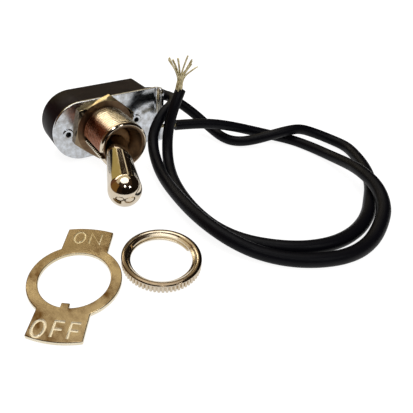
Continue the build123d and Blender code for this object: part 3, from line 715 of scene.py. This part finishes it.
# indicator plate with its words pressed in as round-bottomed strokes: local x runs to the ON end
plateSet = {"centre": (-22.2, -36.17), "turn": 54.7, "top": floorZ / mm + 0.7, "edge": 0.16, "stroke": 0.3,
            "depth": 0.15, "sideFacing": 0.3}
plateAt = [c * mm for c in (*plateSet["centre"], plateSet["top"])]
platePlace = Matrix.Translation(plateAt) @ Matrix.Rotation(math.radians(plateSet["turn"]), 4, "Z")
oval = [(math.cos(math.radians(a)), math.sin(math.radians(a))) for a in range(0, 360, 20)] + [(1, 0)]
letterStrokes = [[(10.35 + 1.52 * x, 1.68 + 1.02 * y) for x, y in oval],
                 [(8.82, -0.4), (11.9, -0.4), (8.77, -2.43), (11.86, -2.43)],
                 [(-10.4 + 1.47 * x, 2.79 + 0.97 * y) for x, y in oval],
                 [(-11.65, 0.56), (-8.82, 0.56), (-8.82, -0.92)], [(-10.2, 0.56), (-10.2, -0.8)],
                 [(-11.65, -2.03), (-8.82, -2.03), (-8.82, -3.45)], [(-10.2, -2.03), (-10.2, -3.35)]]
plate = softenedCopy("indicator_plate", "indicatorPlate", plateSet["edge"], nickelSheet)
strokes = newCurve("letterStrokes")
strokes.bevel_depth = plateSet["stroke"] * mm
strokes.bevel_resolution = 3
strokes.use_fill_caps = True
for line in letterStrokes:
    spline = strokes.splines.new("POLY")
    spline.points.add(len(line) - 1)
    for point, (x, y) in zip(spline.points, line):
        point.co = (x * mm, y * mm, (plateSet["stroke"] - plateSet["depth"]) * mm, 1)
strokeWire = addObject("letterStrokes", strokes)
cutterMesh = finishedMesh(strokeWire)
bpy.data.objects.remove(strokeWire)
cutterMesh.transform(platePlace)
strokeCutter = addObject("strokeCutter", cutterMesh, nickelStruckHighlight)
pressed = plate.modifiers.new("pressedWords", "BOOLEAN")
pressed.object = strokeCutter
pressed.solver = "EXACT"
pressed.use_self = True
pressed.material_mode = "TRANSFER"
plainMesh(plate, sharpAngle=30)
squareFaces(plate.data)
# the sheared sides take the struck sheet's painted highlight
for side in plate.data.polygons:
    if abs(side.normal.z) < plateSet["sideFacing"]:
        side.material_index = 1
bpy.data.objects.remove(strokeCutter)
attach(plate, "switch")
print("plate lettered", len(plate.data.polygons), "faces")

# pieces inside the housing keep their CAD shape
insideSet = {"pivot_pin": springSteel, "plunger": acetal, "rocker": plainBrass,
             "moving_contact": silverContact, "hinge_terminal": plainBrass,
             "contact_terminal": plainBrass, "fixed_contact": silverContact}
for node, material in insideSet.items():
    coat(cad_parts[node].data, material)

# coil spring in the lever's tail, which in the switch shortens towards the end of its bore as the plunger is
# pushed in; here it keeps its CAD shape, with a mesh of its own
spring = addObject("leverSpring", weldedCopy("lever_spring"), springSteel)
spring.data.shade_smooth()
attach(spring, "lever")
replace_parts(spring, "lever_spring")
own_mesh(spring)
print("inside pieces finished")


# light path's outputs, and the rays that show a surface: direct, mirrored or through something clear
def shownRays(tree):
    path = addNode(tree, "ShaderNodeLightPath").outputs
    seen = addNode(tree, "ShaderNodeMath", {
        0: path["Is Camera Ray"], 1: path["Is Glossy Ray"]}, operation="MAXIMUM")
    shown = addNode(tree, "ShaderNodeMath", {
        0: seen.outputs[0], 1: path["Is Transmission Ray"]}, operation="MAXIMUM")
    return path, shown.outputs[0]


def flatCard(name, corners, material):
    mesh = bpy.data.meshes.new(name)
    mesh.from_pydata(corners, [], [(0, 1, 2, 3)])
    return addObject(name, mesh, material)


# white table: shown white to the camera and in reflections, and still darkened a little by shadows
stageSet = {"floorSize": 3.0, "white": 0.9, "mirrored": 0.7, "shadowed": "#8c8c8c",
            "roomLight": (0.55, 0.53, 0.5, 1)}
tableWhite, tree, shader = newMaterial("table_white_matt", "#f2f0ec", {"Roughness": 0.8})
path, shown = shownRays(tree)
white = addNode(tree, "ShaderNodeMix", {
    0: path["Is Glossy Ray"], 2: stageSet["white"], 3: stageSet["mirrored"]}, data_type="FLOAT")
glow = addNode(tree, "ShaderNodeEmission", {"Color": (1, 1, 1, 1), "Strength": white.outputs[0]})
faint = addNode(tree, "ShaderNodeBsdfDiffuse", {"Color": linear(stageSet["shadowed"])})
both = addNode(tree, "ShaderNodeAddShader", {0: glow.outputs[0], 1: faint.outputs[0]})
mixed = addNode(tree, "ShaderNodeMixShader", {0: shown, 1: shader.outputs[0], 2: both.outputs[0]})
tree.links.new(mixed.outputs[0], tree.nodes["Material Output"].inputs["Surface"])
half = stageSet["floorSize"] / 2
floorCorners = [(-half, -half, floorZ), (half, -half, floorZ), (half, half, floorZ), (-half, half, floorZ)]
flatCard("floor", floorCorners, tableWhite)

# world: plain white where it is shown, and a softer warm light on the pieces
world = bpy.data.worlds.new("room")
world.use_nodes = True
bpy.context.scene.world = world
tree = world.node_tree
path, shown = shownRays(tree)
level = addNode(tree, "ShaderNodeMix", {
    "Factor": shown, 6: stageSet["roomLight"], 7: (1, 1, 1, 1)}, data_type="RGBA")
tree.links.new(level.outputs[2], tree.nodes["Background"].inputs["Color"])

# painted reflections: a dark room of glowing cards, seen only in the metal, with bright bands for its
# highlights: each wall by its two ends, its foot, its head and its paint
roomSet = {
    "halfWidth": 0.5, "ceilingAt": 0.6, "lit": {"farBright": 3.6, "farLeftBright": 3.6},
    "walls": [
        ("nearWall", (-0.5, -0.5), (0.5, -0.5), floorZ, 0.6, "#17110d"),
        ("leftNear", (-0.5, -0.1), (-0.5, -0.5), floorZ, 0.6, "#241912"),
        ("leftFar", (-0.5, 0.5), (-0.5, -0.1), floorZ, 0.6, "#7d5c30"),
        ("farBrown", (-0.5, 0.5), (-0.2, 0.5), floorZ, 0.31, "#6e4b33"),
        ("farLeftDark", (-0.2, 0.5), (-0.12, 0.5), floorZ, 0.29, "#2a1a12"),
        ("farOlive", (-0.12, 0.5), (0.125, 0.5), floorZ, 0.3, "#b3a266"),
        ("farRightFoot", (0.125, 0.5), (0.43, 0.5), floorZ, 0.11, "#211814"),
        ("farRightLow", (0.125, 0.5), (0.43, 0.5), 0.11, 0.27, "#c9b896"),
        ("farRightDark", (0.125, 0.5), (0.38, 0.5), 0.27, 0.36, "#2b1e16"),
        ("farWindow", (0.38, 0.5), (0.43, 0.5), 0.27, 0.5, "#fff4dc"),
        ("farLeftBright", (-0.24, 0.5), (0.125, 0.5), 0.3, 0.36, "#fff6e4"),
        ("farBright", (-0.25, 0.5), (0.38, 0.5), 0.36, 0.41, "#fff6e4"),
        ("farGold", (-0.08, 0.5), (0.14, 0.5), 0.41, 0.45, "#b09a60"),
        ("farBrightLeft", (-0.25, 0.5), (-0.08, 0.5), 0.41, 0.5, "#f3e7cc"),
        ("farBrightRight", (0.14, 0.5), (0.38, 0.5), 0.41, 0.5, "#f3e7cc"),
        ("farBrightTop", (-0.08, 0.5), (0.14, 0.5), 0.45, 0.5, "#f3e7cc"),
        ("farLeftHigh", (-0.5, 0.5), (-0.25, 0.5), 0.31, 0.6, "#6e4b33"),
        ("farCream", (-0.25, 0.5), (0.5, 0.5), 0.5, 0.6, "#e6d8b4"),
        ("farRightEnd", (0.43, 0.5), (0.5, 0.5), floorZ, 0.5, "#211814"),
        ("rightWall", (0.5, -0.5), (0.5, 0.5), floorZ, 0.6, "#1d1612")],
    "ceilings": [("ceilingNear", -0.5, 0.1, "#3b2d22"), ("ceilingFar", 0.1, 0.5, "#d6c9b0")]}
roomCards = [(name, [(*a, foot), (*b, foot), (*b, head), (*a, head)], paint)
             for name, a, b, foot, head, paint in roomSet["walls"]]
half = roomSet["halfWidth"]
for name, near, far, paint in roomSet["ceilings"]:
    ends = ((-half, near), (half, near), (half, far), (-half, far))
    roomCards.append((name, [(*end, roomSet["ceilingAt"]) for end in ends], paint))
for name, corners, hexColour in roomCards:
    paint, tree, _ = newMaterial("painted_" + name, hexColour, {})
    strength = roomSet["lit"].get(name, 1.0)
    glow = addNode(tree, "ShaderNodeEmission", {"Color": linear(hexColour), "Strength": strength})
    tree.links.new(glow.outputs[0], tree.nodes["Material Output"].inputs["Surface"])
    card = flatCard(name, corners, paint)
    card.visible_camera = card.visible_diffuse = card.visible_shadow = card.visible_transmission = False

# lamps: place, size in m and power in W
lampSet = {"aim": (0.01, -0.02, 0), "lamps": [("roofLamp", (0.02, 0.03, 0.58), 0.5, 1.2),
                                              ("leftLamp", (-0.136, -0.34, 0.47), 0.1, 0.25),
                                              ("rightLamp", (0.15, -0.436, 0.378), 0.1, 0.25)]}
for name, place, size, power in lampSet["lamps"]:
    lamp = addObject(name, bpy.data.lights.new(name, "AREA"))
    lamp.data.shape = "DISK"
    lamp.data.size = size
    lamp.data.energy = power
    lamp.location = place
    lamp.rotation_euler = (Vector(lampSet["aim"]) - Vector(place)).to_track_quat("-Z", "Y").to_euler()
print("stage lit")
